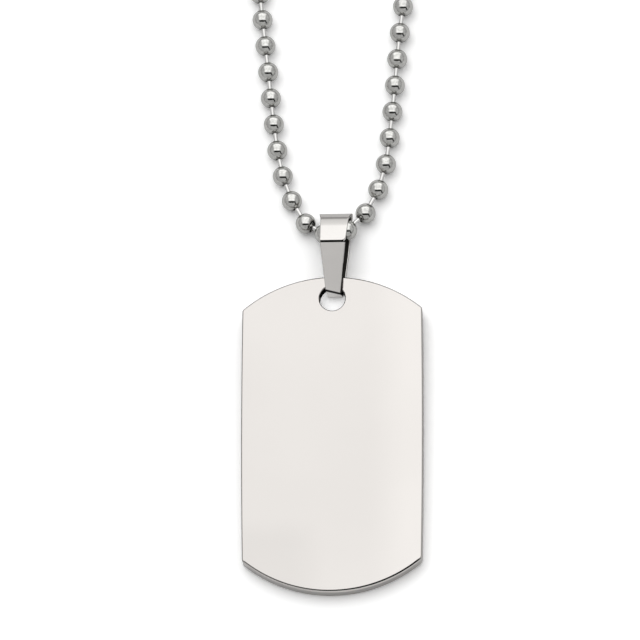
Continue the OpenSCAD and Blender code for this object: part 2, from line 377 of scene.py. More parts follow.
def steel(name, color, roughness, mark_size, mark_depth, cloud, toned=False, painted_sheen_bands=(), edge_on=1.0):
    """Polished steel with marks of a given size and depth in metres, and clouds of a given scale and strength.

    A toned steel is as bright as its mesh's own tone attribute says, which is painted shade and painted
    reflection. Each band is a painted reflection, and changes the brightness by a factor, between two places
    along one axis and, if a second axis is given, between two places along that.
    The steel shines as strongly as edge_on says where it is seen edge on.
    """
    material = bpy.data.materials.new(name)
    material.use_nodes = True
    tree = material.node_tree
    shader = tree.nodes["Principled BSDF"]
    shader.inputs["Metallic"].default_value = 1.0
    shader.inputs["Specular Tint"].default_value = (edge_on, edge_on, edge_on, 1.0)
    place = add_node(tree, "ShaderNodeTexCoord").outputs["Object"]
    marks = add_node(tree, "ShaderNodeTexNoise", noise_dimensions="3D")
    marks.inputs["Scale"].default_value = 1.0 / mark_size
    marks.inputs["Detail"].default_value = MARK_DETAIL
    marks.inputs["Roughness"].default_value = MARK_ROUGHNESS
    plug(tree, marks.inputs["Vector"], place)
    bump = add_node(tree, "ShaderNodeBump")
    bump.inputs["Strength"].default_value = 1.0
    bump.inputs["Distance"].default_value = mark_depth
    plug(tree, bump.inputs["Height"], marks.outputs[0])
    plug(tree, shader.inputs["Normal"], bump.outputs[0])

    clouds = add_node(tree, "ShaderNodeTexNoise", noise_dimensions="3D")
    clouds.inputs["Scale"].default_value = cloud[0]
    clouds.inputs["Detail"].default_value = CLOUD_DETAIL
    plug(tree, clouds.inputs["Vector"], place)
    shade = add_node(tree, "ShaderNodeMix", data_type="RGBA")
    plug(tree, shade.inputs["Factor"], ramp(tree, clouds.outputs[0], *CLOUD_STEP))
    shade.inputs["A"].default_value = (*[c * (1 - cloud[1]) for c in color], 1.0)
    shade.inputs["B"].default_value = (*color, 1.0)
    tone = shade.outputs["Result"]
    # The mesh's tone attribute paints shade and reflection into the colour.
    if toned:
        tone = times(tree, tone, add_node(tree, "ShaderNodeAttribute", attribute_name="tone").outputs["Fac"])
    if painted_sheen_bands:
        axes = add_node(tree, "ShaderNodeSeparateXYZ")
        plug(tree, axes.inputs[0], place)
    for factor, *steps in painted_sheen_bands:
        share = 1.0
        for axis, start, end in steps:
            share = math_node(tree, "MULTIPLY", share, ramp(tree, axes.outputs[axis], start, end))
        tone = times(tree, tone, math_node(tree, "MULTIPLY_ADD", share, factor - 1, 1.0))
    plug(tree, shader.inputs["Base Color"], tone)
    smoothest, roughest = roughness * (1 - GLOSS_CHANGE), roughness * (1 + GLOSS_CHANGE)
    plug(tree, shader.inputs["Roughness"], ramp(tree, marks.outputs[0], *GLOSS_STEP, smoothest, roughest))
    return material


# %% The six steels
# Bands of painted reflection: the tag's right side lighter, its near end and near left darker.
TAG_PAINTED_SHEEN_BANDS = (
    (1.07, ("X", HOLE.x + 3.6 * MM, HOLE.x + 9.4 * MM)),
    (0.975, ("Y", HOLE.y - 2 * MM, HOLE.y - 14 * MM)),
    (0.945, ("Y", HOLE.y - 26 * MM, HOLE.y - 30 * MM), ("X", HOLE.x + 0.5 * MM, HOLE.x - 5.5 * MM)),
)
tag_steel = steel(
    "tag_steel", (0.62, 0.596, 0.575), 0.05, 6 * MM, 0.002 * MM, (90, 0.02), toned=True, painted_sheen_bands=TAG_PAINTED_SHEEN_BANDS
)
bail_steel = steel("bail_steel", (0.62, 0.601, 0.583), 0.06, 3 * MM, 0.001 * MM, (300, 0.02), toned=True)
# A near-black steel, painted shade on the strap's inner face and ends, the foot's right wall and the hole's
# wall.
dull_steel = steel("dull_steel", (0.045, 0.043, 0.04), 0.5, 0.5 * MM, 0.004 * MM, (900, 0.1), edge_on=0.05)
bead_steel = steel("bead_steel", (0.62, 0.618, 0.598), 0.045, 0.16 * MM, 0.004 * MM, (4000, 0.2), toned=True)
wire_steel = steel("wire_steel", (0.7, 0.695, 0.685), 0.1, 0.4 * MM, 0.002 * MM, (900, 0.05))
connector_steel = steel("connector_steel", (0.62, 0.615, 0.605), 0.1, 0.5 * MM, 0.003 * MM, (500, 0.06))
print("materials", [m.name for m in bpy.data.materials])

# %% [markdown]
# ## The plate
#
# The imported plate has sharp edges. The real one has a narrow slanting cut along every edge, a lip under the
# cut that leans in a little along the near end, and four rounded corners, the two far ones least. The cuts
# are modelled, and they draw the thin dark outline in the photograph. They are only a pixel or two wide
# there, so each cut and lip also carries a painted reflection: a tone, by the compass direction that it faces,
# which paints it darker or lighter. The hole's wall takes a near-black steel as painted shade. The outline
# is worked out first, then stacked in rings from the back to the front.

# %% Outline of the plate
TAG_WIDE, TAG_LONG, TAG_END_R, TAG_BOW = 21.3, 38.2, 16.2, 0.12
TAG_TOP, HOLE_R = 2.575, 1.525
CORNER_ROUNDS = {"far right": 0.35, "far left": 0.35, "near left": 0.45, "near right": 0.8}
CORNER_POINTS, SIDE_POINTS, END_POINTS, HOLE_POINTS = 9, 24, 60, 72
CORNER_TRIES = 40


def arc(middle, radius, start, end, count):
    """Points on an arc, angles in radians."""
    angles = np.linspace(start, end, count)
    return np.stack([middle[0] + radius * np.cos(angles), middle[1] + radius * np.sin(angles)], axis=1)


def arc_between(middle, start, end, count):
    """Points on the shorter arc round a middle, from one point to another."""
    first, last = (math.atan2(*(point - middle)[::-1]) for point in (start, end))
    turn = (last - first + math.pi) % (2 * math.pi) - math.pi
    return arc(middle, np.linalg.norm(start - middle), first, first + turn, count)


def rounded_corner(end_mid, end_r, side_mid, side_r, round_r, guess):
    """The small arc that rounds the corner between an end's arc and a side's, and its two touching points."""
    middle = np.array(guess, float)
    for _ in range(CORNER_TRIES):
        for other, radius in ((end_mid, end_r), (side_mid, side_r)):
            away = middle - other
            middle = other + away * ((radius - round_r) / np.linalg.norm(away))
    touch = []
    for other in (end_mid, side_mid):
        away = middle - other
        touch.append(middle + away / np.linalg.norm(away) * round_r)
    return arc_between(middle, *touch, CORNER_POINTS), touch


def tag_outline():
    """Outline of the plate, anticlockwise, in millimetres from the hole."""
    middle_y = TAG_TOP - TAG_LONG / 2
    arc_mid = TAG_LONG / 2 - TAG_END_R
    corner_x = TAG_WIDE / 2 - TAG_BOW
    corner_y = arc_mid + math.sqrt(TAG_END_R**2 - corner_x**2)
    side_r = (corner_y**2 + TAG_BOW**2) / (2 * TAG_BOW)
    ends = {"far": np.array((0.0, middle_y + arc_mid)), "near": np.array((0.0, middle_y - arc_mid))}
    sides = {
        "right": np.array((TAG_WIDE / 2 - side_r, middle_y)),
        "left": np.array((side_r - TAG_WIDE / 2, middle_y)),
    }
    corners = {}
    touches = {}
    for name, round_r in CORNER_ROUNDS.items():
        end, side = name.split()
        inside = (
            (corner_x - round_r) * (1 if side == "right" else -1),
            middle_y + (corner_y - round_r) * (1 if end == "far" else -1),
        )
        corners[name], touches[name] = rounded_corner(
            ends[end], TAG_END_R, sides[side], side_r, round_r, inside
        )

    def bowed(middle, start, end, count):
        return arc_between(middle, start, end, count)[1:-1]

    return np.concatenate([
        corners["near right"],
        bowed(sides["right"], touches["near right"][1], touches["far right"][1], SIDE_POINTS),
        corners["far right"][::-1],
        bowed(ends["far"], touches["far right"][0], touches["far left"][0], END_POINTS),
        corners["far left"],
        bowed(sides["left"], touches["far left"][1], touches["near left"][1], SIDE_POINTS),
        corners["near left"][::-1],
        bowed(ends["near"], touches["near left"][0], touches["near right"][0], END_POINTS),
    ])


outline = tag_outline()
print("outline of", len(outline), "points,", np.ptp(outline, axis=0).round(2), "mm")

# %% Cuts along the plate's edges
LIP_DEEP, HOLE_CUT = 0.3, 0.08
CUT_INSETS = ((-180, 0.12), (-95, 0.12), (-70, 0.15), (-50, 0.16), (-20, 0.12), (180, 0.12))
LIP_INSETS = ((-180, 0.0), (-150, 0.0), (-125, 0.1), (-85, 0.1), (-55, 0.05), (-30, 0.0), (180, 0.0))
# Painted reflections on the lip and the cut, as tone factors by the compass direction that each faces.
LIP_PAINTED_REFLECTION = ((-180, 1.0), (-140, 1.1), (-100, 1.15), (-60, 1.35), (-40, 1.0), (180, 1.0))
CUT_PAINTED_REFLECTION = (
    (-180, 0.5), (-130, 0.5), (-97, 0.17), (-72, 0.03), (-55, 0.03),
    (-30, 0.9), (25, 0.9), (70, 0.5), (180, 0.5),
)
LIP_STEP, CUT_STEP = 2, 3
STEP_PAINTED_REFLECTION = {LIP_STEP: LIP_PAINTED_REFLECTION, CUT_STEP: CUT_PAINTED_REFLECTION}
OUTLINE, HOLE_EDGE = -1, 1
# The second material is the near-black steel of painted shade.
BRIGHT, PAINTED_SHADE = 0, 1


def outward_normals(loop):
    """Unit normals in plan of a closed anticlockwise loop of points."""
    along = np.roll(loop, -1, axis=0) - np.roll(loop, 1, axis=0)
    normals = np.stack([along[:, 1], -along[:, 0]], axis=1)
    return normals / np.linalg.norm(normals, axis=1)[:, None]


def towards(stops, way):
    """A value by the compass direction that an edge faces, in degrees from +X."""
    return float(np.interp(math.degrees(math.atan2(way[1], way[0])), *zip(*stops)))


def edge_profile(thick, cut, lip):
    """How far in, and how high, each ring of a wall with cut edges lies, from the back to the front."""
    return [(cut, 0), (0, cut), (0, thick - cut - LIP_DEEP), (lip, thick - cut), (cut + lip, thick)]


def ring_edges(shape, ring):
    """The edges of a closed ring of corners."""
    return [shape.edges.get((ring[i], ring[(i + 1) % len(ring)])) for i in range(len(ring))]


def add_wall(shape, tone, loop, side, thick):
    """Adds the wall along the outline or the hole, with its cuts, and returns its rings of corners."""
    normals = outward_normals(loop)
    cuts = [towards(CUT_INSETS, way) if side == OUTLINE else HOLE_CUT for way in normals]
    lips = [towards(LIP_INSETS, way) if side == OUTLINE else 0.0 for way in normals]
    profiles = [edge_profile(thick, cut, lip) for cut, lip in zip(cuts, lips)]
    rings = [
        [shape.verts.new((*(point + side * inset * normal), height))
         for point, normal, (inset, height) in zip(loop, normals, step)]
        for step in zip(*profiles)
    ]
    for step, (low, high) in enumerate(zip(rings, rings[1:])):
        for i, normal in enumerate(normals):
            j = (i + 1) % len(loop)
            corners = (low[i], low[j], high[j], high[i])
            face = shape.faces.new(corners if side == OUTLINE else corners[::-1])
            face.smooth = True
            face[tone] = 1.0
            # Cuts and lips take their painted reflection, darker or lighter by the way they face.
            if side == OUTLINE and step in STEP_PAINTED_REFLECTION:
                face[tone] = towards(STEP_PAINTED_REFLECTION[step], normal)
            # The hole's wall takes the near-black steel, a painted shade.
            if side == HOLE_EDGE and step < CUT_STEP:
                face.material_index = PAINTED_SHADE
    for ring in rings:
        for edge in ring_edges(shape, ring):
            edge.smooth = False
    return rings


# %% Plate
def add_face(shape, tone, rings, upward):
    """Adds the flat face between the outline's ring and the hole's, turned up or down."""
    edges = [edge for ring in rings for edge in ring_edges(shape, ring)]
    for face in bmesh.ops.triangle_fill(shape, use_beauty=True, edges=edges)["geom"]:
        if isinstance(face, bmesh.types.BMFace):
            face.smooth = False
            face[tone] = 1.0
            face.normal_update()
            if (face.normal.z < 0) == upward:
                face.normal_flip()


def make_plate(outer, hole, thick):
    """A plate with one hole, flat faces and a narrow slanting cut along every edge."""
    shape = bmesh.new()
    tone = shape.faces.layers.float.new("tone")
    outer_rings = add_wall(shape, tone, outer, OUTLINE, thick)
    hole_rings = add_wall(shape, tone, hole, HOLE_EDGE, thick)
    add_face(shape, tone, (outer_rings[0], hole_rings[0]), upward=False)
    add_face(shape, tone, (outer_rings[-1], hole_rings[-1]), upward=True)
    mesh = bpy.data.meshes.new("tag")
    shape.to_mesh(mesh)
    shape.free()
    return mesh


hole_loop = arc((0.0, 0.0), HOLE_R, 0, 2 * math.pi, HOLE_POINTS + 1)[:-1]
plate_mesh = make_plate(outline, hole_loop, TAG_THICK)
lay_plate = (
    Matrix.Translation(HOLE)
    @ Matrix.Scale(MM, 4)
    @ Matrix.Translation((0, -TAG_BELOW_HOLE, 0))
    @ Matrix.Rotation(TAG_TILT, 4, "X")
    @ Matrix.Translation((0, TAG_BELOW_HOLE, 0))
)
plate_mesh.transform(lay_plate)
plate_mesh.materials.append(tag_steel)
plate_mesh.materials.append(dull_steel)
plate = make_piece("tag", plate_mesh)
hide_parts("tag_plate")
print_sizes(plate_mesh, "tag_plate")

# %% [markdown]
# ## The bail
#
# The strap that carries the plate is one narrow strip, bent round five circles: two small ones hold the
# plate's edge, a sharp one makes the crease in front, a wide one bends the upper panel softly, and the last
# one makes the roll. The strip widens from the foot to the roll. Its two ends nearly meet at the crease, and
# the black line there in the photograph is the gap between them, with painted shade on the ends. The front of
# the foot is slanted, and its right wall leans out. Painted shade darkens the foot's front bend, its right
# wall, the strap's inner face and the left edge of its front, and a painted reflection lightens the foot's
# face inside the hole. The mesh is a grid, because its rows can follow the bends and its columns the strip's
# rounded section. A row close to each end of a straight stretch keeps that stretch flat, so that it mirrors
# one thing only.

# %% Sizes of the bail
STRAP = 0.4
BAIL_TURN, BAIL_LEAN, BAIL_SIDE = math.radians(3.0), math.radians(1.2), 0.1
FOOT_DEPTH, FOOT_Y, BAIL_LIFT = 3.2, 0.525, 0.08636
SOFT_R, SOFT_END, ROLL = 13.0, math.radians(28), (8.19, 1.75, 1.75)
SOFT_BEND = (
    ROLL[0] - (SOFT_R - ROLL[2]) * math.sin(SOFT_END),
    ROLL[1] - (SOFT_R - ROLL[2]) * math.cos(SOFT_END),
    SOFT_R,
)
BENDS = ((0.8, 0.7, 0.7), (0.24, 2.91, 0.24), (5.77, 4.12, 0.55), SOFT_BEND, ROLL)
BACK_FOOT, FRONT_FOOT, CREASE = 0, 1, 2
GAP_ANGLES = math.radians(13), math.radians(18.5)
WIDTHS = ((0.0, 1.7), (5.63, 2.96), (8.95, 3.3), (9.94, 3.9))
STRAP_EDGE, FLAT_FROM, CORNER_STEPS = 0.06, 0.14, 3
BEND_STEP, FEWEST_STEPS, STRAIGHT_STEPS = 5.0, 4, 8
CLOSE_ROW, TOUCHING = 0.04, 0.01
# Painted shade on the foot's front bend, and a painted reflection lightening its face inside the hole, as tone
# factors.
FOOT_PAINTED_SHADE, FOOT_PAINTED_LIGHT, FOOT_EDGE_TURN = 0.05, 1.55, 12
print("bail bent round", [tuple(round(v, 2) for v in bend) for bend in BENDS])


# %% Path of the bail's strap
def outward(a, b):
    """Outward direction of the straight stretch of strap from one bend to the next."""
    step = np.subtract(b[:2], a[:2])
    length = np.linalg.norm(step)
    along = step / length
    share = min(1.0, max(-1.0, (a[2] - b[2]) / length))
    return along * share + np.array((-along[1], along[0])) * math.sqrt(1 - share * share)


def bend_rows(index, lap, arrives, leaves):
    """Rows round one bend. The path's first and last bend are the crease, where the gap stays open."""
    middle = np.array(BENDS[index][:2])
    radius = BENDS[index][2]
    start = math.atan2(arrives[1], arrives[0])
    end = start - (start - math.atan2(leaves[1], leaves[0])) % (2 * math.pi)
    half_way = (start + end) / 2
    if lap == 0:
        start = half_way - GAP_ANGLES[0]
    if lap == len(BENDS):
        end = half_way + GAP_ANGLES[1]
    corner = middle + (radius - STRAP) * (arrives + leaves) / (1 + arrives @ leaves)
    steps = max(FEWEST_STEPS, math.ceil(math.degrees(start - end) / BEND_STEP))
    rows = []
    for angle in np.linspace(start, end, steps + 1):
        way = np.array((math.cos(angle), math.sin(angle)))
        inner = corner if radius < STRAP else middle + (radius - STRAP) * way
        left_to_turn = math.degrees(math.acos(min(1.0, way @ leaves)))
        tone = FOOT_PAINTED_LIGHT if index == BACK_FOOT else 1.0
        if index == FRONT_FOOT and left_to_turn > FOOT_EDGE_TURN:
            tone = FOOT_PAINTED_SHADE
        rows.append((middle + radius * way, inner, way, tone))
    return rows


def straight_rows(index, first, last, leaves):
    """Rows along the straight stretch after a bend, with one close to each of its ends."""
    near_end = CLOSE_ROW / np.linalg.norm(last - first)
    rows = []
    for share in (near_end, *np.linspace(0, 1, STRAIGHT_STEPS)[1:-1], 1 - near_end):
        place = first * (1 - share) + last * share
        tone = 1.0
        if index == BACK_FOOT:
            tone = FOOT_PAINTED_SHADE if share == 1 - near_end else FOOT_PAINTED_LIGHT
        rows.append((place, place - leaves * STRAP, leaves, tone))
    return rows


def bail_path():
    """Rows from the crease once round to the crease, each an outer place, inner place, direction and tone of
    painted shade or light.
    """
    rows = []
    order = [(CREASE + i) % len(BENDS) for i in range(len(BENDS) + 1)]
    for lap, index in enumerate(order):
        here = BENDS[index]
        ahead = BENDS[(index + 1) % len(BENDS)]
        leaves = outward(here, ahead)
        rows += bend_rows(index, lap, outward(BENDS[index - 1], here), leaves)
        if lap == len(BENDS):
            break
        first = rows[-1][0]
        last = np.array(ahead[:2]) + ahead[2] * leaves
        if np.linalg.norm(last - first) < TOUCHING:
            rows.pop()
        else:
            rows += straight_rows(index, first, last, leaves)
    return rows


def with_round_ends(path):
    """The path with a few more rows at each end, each with how much the strap shrinks there."""
    rows = [(*row, 0.0) for row in path]
    for end, other in ((0, 1), (-1, -2)):
        place, inner, way, tone = path[end]
        back = place - path[other][0]
        back /= np.linalg.norm(back)
        added = []
        for step in range(1, CORNER_STEPS + 1):
            angle = math.pi / 2 * step / CORNER_STEPS
            reach = back * STRAP_EDGE * math.sin(angle)
            added.append((place + reach, inner + reach, way, tone, STRAP_EDGE * (1 - math.cos(angle))))
        rows = added[::-1] + rows if end == 0 else rows + added
    return rows


bail_rows = with_round_ends(bail_path())
flap_end = bail_rows[CORNER_STEPS][0]
print("the strap has", len(bail_rows), "rows, and its flap ends at", flap_end.round(2))

# %% Section and corners of the bail's strap
# Painted shade on the left edge and the right wall of the strap's front.
LEFT_EDGE_PAINTED_SHADE, RIGHT_WALL_PAINTED_SHADE = 0.72, 0.15
RIGHT_WALL = 1 + CORNER_STEPS
FLAP_CORNERS, FLAP_ROWS = {-1: 0.1, 1: 0.42}, 20
WALL_FLARE, FLARE_END, FLARE_FADE = 0.2, 2.6, 1.2
FOOT_SLANT, FOOT_DROP = 0.43, 0.25
SLANT_ALONG, SLANT_UP = (1.0, 3.5), (1.2, 2.8)
FACES_FRONT = 0.5


def share_between(value, start, end):
    """How far a value is from start to end, from 0 to 1."""
    return min(1.0, max(0.0, (value - start) / (end - start)))


def half_width(along):
    """Half the strap's width at a place along the bail."""
    return float(np.interp(along, *zip(*WIDTHS))) / 2


def strap_section():
    """The strap's section once round: which side, how far in from it, and how deep under the outer face."""
    corner = [
        (STRAP_EDGE * (1 - math.sin(a)), STRAP_EDGE * (1 - math.cos(a)))
        for a in np.linspace(0, math.pi / 2, CORNER_STEPS + 1)
    ]
    corner = [(FLAT_FROM, 0.0)] + corner
    right = [(1, inset, depth) for inset, depth in corner]
    right += [(1, inset, STRAP - depth) for inset, depth in reversed(corner)]
    left = [(-1, inset, depth) for _, inset, depth in reversed(right)]
    return right + left


def corner_cut(place, side):
    """How far the flap's rounded corner stands back from its side."""
    round_r = FLAP_CORNERS[side]
    left = round_r - max(0.0, float(np.linalg.norm(place - flap_end)))
    return round_r - math.sqrt(round_r**2 - left**2) if left > 0 else 0.0


def slanted(across, spot):
    """The front of the foot slides up in its panel's plane at the left, and a little down at the right."""
    panel_out = outward(BENDS[FRONT_FOOT], BENDS[CREASE])
    panel_way = np.array((panel_out[1], -panel_out[0]))
    near = 1 - share_between(spot[0], *SLANT_ALONG)
    leftness = 0.5 - across / (2 * half_width(0.0))
    slide = (FOOT_SLANT * leftness - FOOT_DROP) * near * near * (3 - 2 * near)
    return spot + panel_way * slide * share_between(spot[1], *SLANT_UP)


# %% Mesh of the bail
def bail_corners(section):
    """Every corner of the bail's grid, row by row, and its tone of painted shade or light."""
    points = []
    tones = []
    for index, (place, inner, way, tone, shrink) in enumerate(bail_rows):
        in_front = way[1] > FACES_FRONT and index > len(bail_rows) // 2
        for side, inset, depth in section:
            pressed = shrink + depth * (STRAP - 2 * shrink) / STRAP
            spot = place + (inner - place) * pressed / STRAP
            half = half_width(spot[0]) - inset - shrink
            right_wall = in_front and side > 0 and depth > STRAP_EDGE
            if index < FLAP_ROWS:
                half -= corner_cut(place, side)
            if right_wall:
                half += WALL_FLARE * depth / STRAP * share_between(spot[0], FLARE_END, FLARE_END - FLARE_FADE)
            points.append((side * half, *slanted(side * half, spot)))
            # Painted shade on the front's left edge and right wall.
            edge_painted_shade = 1.0
            if in_front and side < 0 and inset < STRAP_EDGE:
                edge_painted_shade = LEFT_EDGE_PAINTED_SHADE
            if right_wall and inset < STRAP_EDGE:
                edge_painted_shade = RIGHT_WALL_PAINTED_SHADE
            tones.append(tone * edge_painted_shade)
    return points, tones


def bail_faces(columns):
    """The faces of the bail's grid, and which take the near-black painted shade: the inner ones, the ends and
    the foot's wall.
    """
    faces = []
    painted_shade_faces = []
    for row in range(len(bail_rows) - 1):
        at_end = row < CORNER_STEPS or row >= len(bail_rows) - 1 - CORNER_STEPS
        at_foot = row > len(bail_rows) // 2 and bail_rows[row][0][0] < FLARE_END
        low = row * columns
        high = low + columns
        for column in range(columns):
            beside = (column + 1) % columns
            faces.append((low + column, high + column, high + beside, low + beside))
            inner_face = column == columns // 2 - 1
            painted_shade_faces.append(inner_face or at_end or (at_foot and column == RIGHT_WALL))
    last = (len(bail_rows) - 1) * columns
    faces.append(tuple(range(columns)))
    faces.append(tuple(range(last + columns - 1, last - 1, -1)))
    return faces, painted_shade_faces + [True, True]


def make_bail():
    section = strap_section()
    points, tones = bail_corners(section)
    faces, painted_shade_faces = bail_faces(len(section))
    mesh = bpy.data.meshes.new("bail")
    mesh.from_pydata(points, [], faces)
    mesh.shade_smooth()
    mesh.materials.append(bail_steel)
    mesh.materials.append(dull_steel)
    mesh.polygons.foreach_set("material_index", np.where(painted_shade_faces, PAINTED_SHADE, BRIGHT).astype(np.int32))
    mesh.attributes.new("tone", "FLOAT", "POINT").data.foreach_set("value", tones)
    return mesh


# %% Bail in its place
bail_mesh = make_bail()
lay_bail = (
    Matrix.Translation(HOLE)
    @ Matrix.Scale(MM, 4)
    @ Matrix.Translation((BAIL_SIDE, FOOT_Y, BAIL_LIFT))
    @ Matrix.Rotation(-BAIL_LEAN, 4, "Z")
    @ Matrix.Translation((FOOT_DEPTH * math.sin(BAIL_TURN), 0, 0))
    @ Matrix.Rotation(-BAIL_TURN, 4, "Y")
)
bail_mesh.transform(lay_bail)
bail = make_piece("bail_strap", bail_mesh)
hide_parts("bail")
print_sizes(bail_mesh, "bail")

# %% [markdown]
# ## Where the beads are
#
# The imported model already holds 186 beads in place, so nothing is typed in again. Each loose solid of its
# chain is found, and the middle of its corners lies close to the middle of that bead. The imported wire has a
# ring of six corners at every bead, and the middle of the nearest ring is the exact place. Walking from bead
# to nearest bead puts them in order. The nearest bead to the tag is the left one inside the strap, which is
# where the walk starts.

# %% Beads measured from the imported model
SAME_PLACE, PACKED_WIRE_SIDES = 1e-6, 6


def loose_middles(node):
    """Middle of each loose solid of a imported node."""
    shape = bmesh.new()
    shape.from_mesh(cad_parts[node].data)
    bmesh.ops.remove_doubles(shape, verts=shape.verts, dist=SAME_PLACE)
    left = set(shape.verts)
    middles = []
    while left:
        front = [left.pop()]
        solid = list(front)
        while front:
            for edge in front.pop().link_edges:
                for vert in edge.verts:
                    if vert in left:
                        left.remove(vert)
                        front.append(vert)
                        solid.append(vert)
        middles.append(np.mean([v.co for v in solid], axis=0))
    shape.free()
    return np.array(middles)


def ring_middles(node, near):
    """Middle of the ring of corners that a packed wire has next to each point."""
    corners = np.unique(np.array([v.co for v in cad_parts[node].data.vertices]).round(7), axis=0)
    nearest = [np.argsort(np.linalg.norm(corners - point, axis=1))[:PACKED_WIRE_SIDES] for point in near]
    return np.array([corners[ring].mean(axis=0) for ring in nearest])


def in_order(points):
    """The points of a closed chain, from the lowest y on, each followed by its nearest neighbour."""
    left = list(range(len(points)))
    order = [left.pop(int(points[:, 1].argmin()))]
    while left:
        gaps = np.linalg.norm(points[left] - points[order[-1]], axis=1)
        order.append(left.pop(int(gaps.argmin())))
    return points[order]


beads = in_order(ring_middles("chain_wire", loose_middles("chain_beads")))
links = np.roll(beads, -1, axis=0) - beads
link_lengths = np.linalg.norm(links, axis=1)
link_ways = links / link_lengths[:, None]
bead_ways = link_ways + np.roll(link_ways, 1, axis=0)
bead_ways /= np.linalg.norm(bead_ways, axis=1)[:, None]
joint_link = int(link_lengths.argmax())
print(len(beads), "beads, links in mm from", *(np.sort(link_lengths)[[0, -1]] / MM).round(3))


# %% Turned shapes
def turned(name, profile, sides, closed=False, mouth=None):
    """A mesh turned round Z from pairs of radius and height in millimetres, from the low end to the high one.

    A mouth gives the painted shade of each ring, by the degrees between it and the Z axis.
    """
    points = []
    for radius, height in profile:
        for angle in np.linspace(0, 2 * math.pi, sides, endpoint=False):
            points.append((radius * math.cos(angle) * MM, radius * math.sin(angle) * MM, height * MM))
    rows = len(profile)
    faces = []
    for row in range(rows if closed else rows - 1):
        above = (row + 1) % rows
        for i in range(sides):
            j = (i + 1) % sides
            faces.append((row * sides + i, row * sides + j, above * sides + j, above * sides + i))
    mesh = bpy.data.meshes.new(name)
    mesh.from_pydata(points, [], faces)
    mesh.shade_smooth()
    if mouth:
        tilts = [math.degrees(math.atan2(radius, abs(height))) for radius, height in profile]
        tones = [float(np.interp(tilt, *zip(*mouth))) for tilt in tilts for _ in range(sides)]
        mesh.attributes.new("tone", "FLOAT", "POINT").data.foreach_set("value", tones)
    return mesh


# %% Profile of a bead
BEAD_R, WIRE_R, BORE_R = 1.193, 0.26, 0.36
BORE_ROUND = 0.07
BORE_LIP = ((0.0, 0.28), (0.0, 0.05), (0.02, 0.01))
# Painted shade round each bore, by the degrees from the bore's axis.
MOUTH_PAINTED_SHADE = ((0, 0.55), (27, 0.75), (31, 0.9), (39, 1.0))


def bead_profile(rings, lip_steps):
    """A ball with a rounded lip round each bore, and the start of the bore's wall."""
    mouth = math.asin((BORE_R + BORE_ROUND) / BEAD_R)
    ball = [
        (BEAD_R * math.sin(a), -BEAD_R * math.cos(a))
        for a in np.linspace(mouth, math.pi - mouth, rings)
    ]
    end = -ball[0][1]
    lip = [(BORE_R + out, deep - end) for out, deep in BORE_LIP[-lip_steps:]]
    return lip + ball + [(radius, -height) for radius, height in reversed(lip)]


FINE_RINGS, FINE_LIP, FINE_SIDES = 21, 3, 32
COARSE_RINGS, COARSE_LIP, COARSE_SIDES = 7, 1, 12
fine_profile = bead_profile(FINE_RINGS, FINE_LIP)
coarse_profile = bead_profile(COARSE_RINGS, COARSE_LIP)
print("bead profiles of", len(fine_profile), "and", len(coarse_profile), "rings")

# %% [markdown]
# ## Beads and links with Geometry Nodes
#
# On the real chain each ball is pressed from thin sheet round the heads of two short wires. An array along a
# curve could set the balls out, but it would bend each of them a little. The chain repeats two shapes, so here
# it is a list of points and a node tree. Each point carries the direction of its bore. Beads that the
# photograph shows close up use a finely turned ball, and the rest a coarse one. A tone of painted shade
# darkens the ring round each bore, where the beads in the photograph turn in towards the wire. The tree aims
# the shapes, joins them and makes them real, and the result is then stored as a plain mesh.


# %% Node tree that sets two shapes on points
def repeat_tree(name):
    tree = bpy.data.node_groups.new(name, "GeometryNodeTree")
    face = tree.interface
    face.new_socket("Points", in_out="INPUT", socket_type="NodeSocketGeometry")
    face.new_socket("Fine shape", in_out="INPUT", socket_type="NodeSocketObject")
    face.new_socket("Coarse shape", in_out="INPUT", socket_type="NodeSocketObject")
    face.new_socket("Material", in_out="INPUT", socket_type="NodeSocketMaterial")
    face.new_socket("Geometry", in_out="OUTPUT", socket_type="NodeSocketGeometry")
    given = add_node(tree, "NodeGroupInput")
    aim = add_node(tree, "GeometryNodeInputNamedAttribute", data_type="FLOAT_VECTOR")
    aim.inputs["Name"].default_value = "way"
    stretch = add_node(tree, "GeometryNodeInputNamedAttribute", data_type="FLOAT_VECTOR")
    stretch.inputs["Name"].default_value = "stretch"
    close_up = add_node(tree, "GeometryNodeInputNamedAttribute", data_type="BOOLEAN")
    close_up.inputs["Name"].default_value = "fine"
    turn = add_node(tree, "FunctionNodeAlignRotationToVector", axis="Z")
    plug(tree, turn.inputs["Vector"], aim.outputs["Attribute"])
    far_off = add_node(tree, "FunctionNodeBooleanMath", operation="NOT")
    plug(tree, far_off.inputs[0], close_up.outputs["Attribute"])
    joined = add_node(tree, "GeometryNodeJoinGeometry")
    choices = {"Fine shape": close_up.outputs["Attribute"], "Coarse shape": far_off.outputs[0]}
    for shape, chosen in choices.items():
        info = add_node(tree, "GeometryNodeObjectInfo")
        plug(tree, info.inputs["Object"], given.outputs[shape])
        placed = add_node(tree, "GeometryNodeInstanceOnPoints")
        plug(tree, placed.inputs["Points"], given.outputs["Points"])
        plug(tree, placed.inputs["Selection"], chosen)
        plug(tree, placed.inputs["Instance"], info.outputs["Geometry"])
        plug(tree, placed.inputs["Rotation"], turn.outputs[0])
        plug(tree, placed.inputs["Scale"], stretch.outputs["Attribute"])
        tree.links.new(placed.outputs[0], joined.inputs[0])
    real = add_node(tree, "GeometryNodeRealizeInstances")
    plug(tree, real.inputs[0], joined.outputs[0])
    painted = add_node(tree, "GeometryNodeSetMaterial")
    plug(tree, painted.inputs["Geometry"], real.outputs[0])
    plug(tree, painted.inputs["Material"], given.outputs["Material"])
    plug(tree, add_node(tree, "NodeGroupOutput").inputs[0], painted.outputs[0])
    return tree


